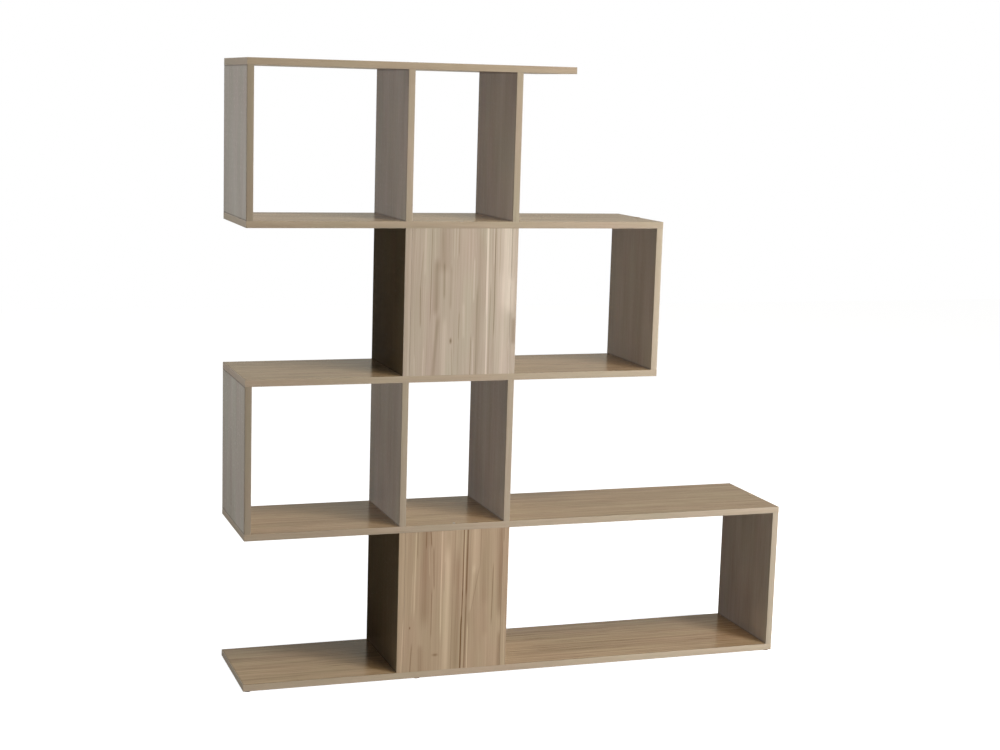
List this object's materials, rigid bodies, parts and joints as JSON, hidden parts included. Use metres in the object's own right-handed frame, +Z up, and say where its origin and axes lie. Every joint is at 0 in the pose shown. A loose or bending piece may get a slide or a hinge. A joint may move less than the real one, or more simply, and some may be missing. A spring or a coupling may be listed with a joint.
{
  "type": "open bookcase",
  "caption": "Open room-divider bookcase in wood-look board: staggered tiers of through shelves on short uprights, with fixed front panels closing the middle column in alternate tiers",
  "frame": {"origin": "on the floor, under the middle of the bookcase's outer box", "axes": "+X to the right seen from the front, +Y from front to back, +Z up"},
  "size_m": [1.39, 0.28, 1.479],
  "materials": {
    "shelf_board": "satin",
    "upright_board": "satin",
    "panel_board": "satin",
    "edge_band": "satin",
    "beech": "matte",
    "zinc": "satin",
    "cap_plastic": "matte",
    "glide_plastic": "matte"
  },
  "bodies": {
    "root": {"base_shelf": "shelf_board", "cam_caps": "cap_plastic", "cams": "zinc", "double_bolts": "zinc", "end_shelf_bands": "edge_band", "front_panel_tier_1": "panel_board", "front_panel_tier_3": "panel_board", "glide_nails": "zinc", "glides": "glide_plastic", "left_divider_tier_1": "upright_board", "left_divider_tier_2": "upright_board", "left_divider_tier_3": "upright_board", "left_divider_tier_4": "upright_board", "left_side_tier_2": "upright_board", "left_side_tier_4": "upright_board", "long_dowels": "beech", "long_shelf_bands": "edge_band", "lower_shelf": "shelf_board", "middle_shelf": "shelf_board", "panel_screws": "zinc", "right_divider_tier_1": "upright_board", "right_divider_tier_2": "upright_board", "right_divider_tier_3": "upright_board", "right_divider_tier_4": "upright_board", "right_side_tier_1": "upright_board", "right_side_tier_3": "upright_board", "short_dowels": "beech", "side_screw_caps": "cap_plastic", "side_screws": "zinc", "single_bolts": "zinc", "top_shelf": "shelf_board", "upper_shelf": "shelf_board", "upright_bands": "edge_band"}
  },
  "joints": []
}
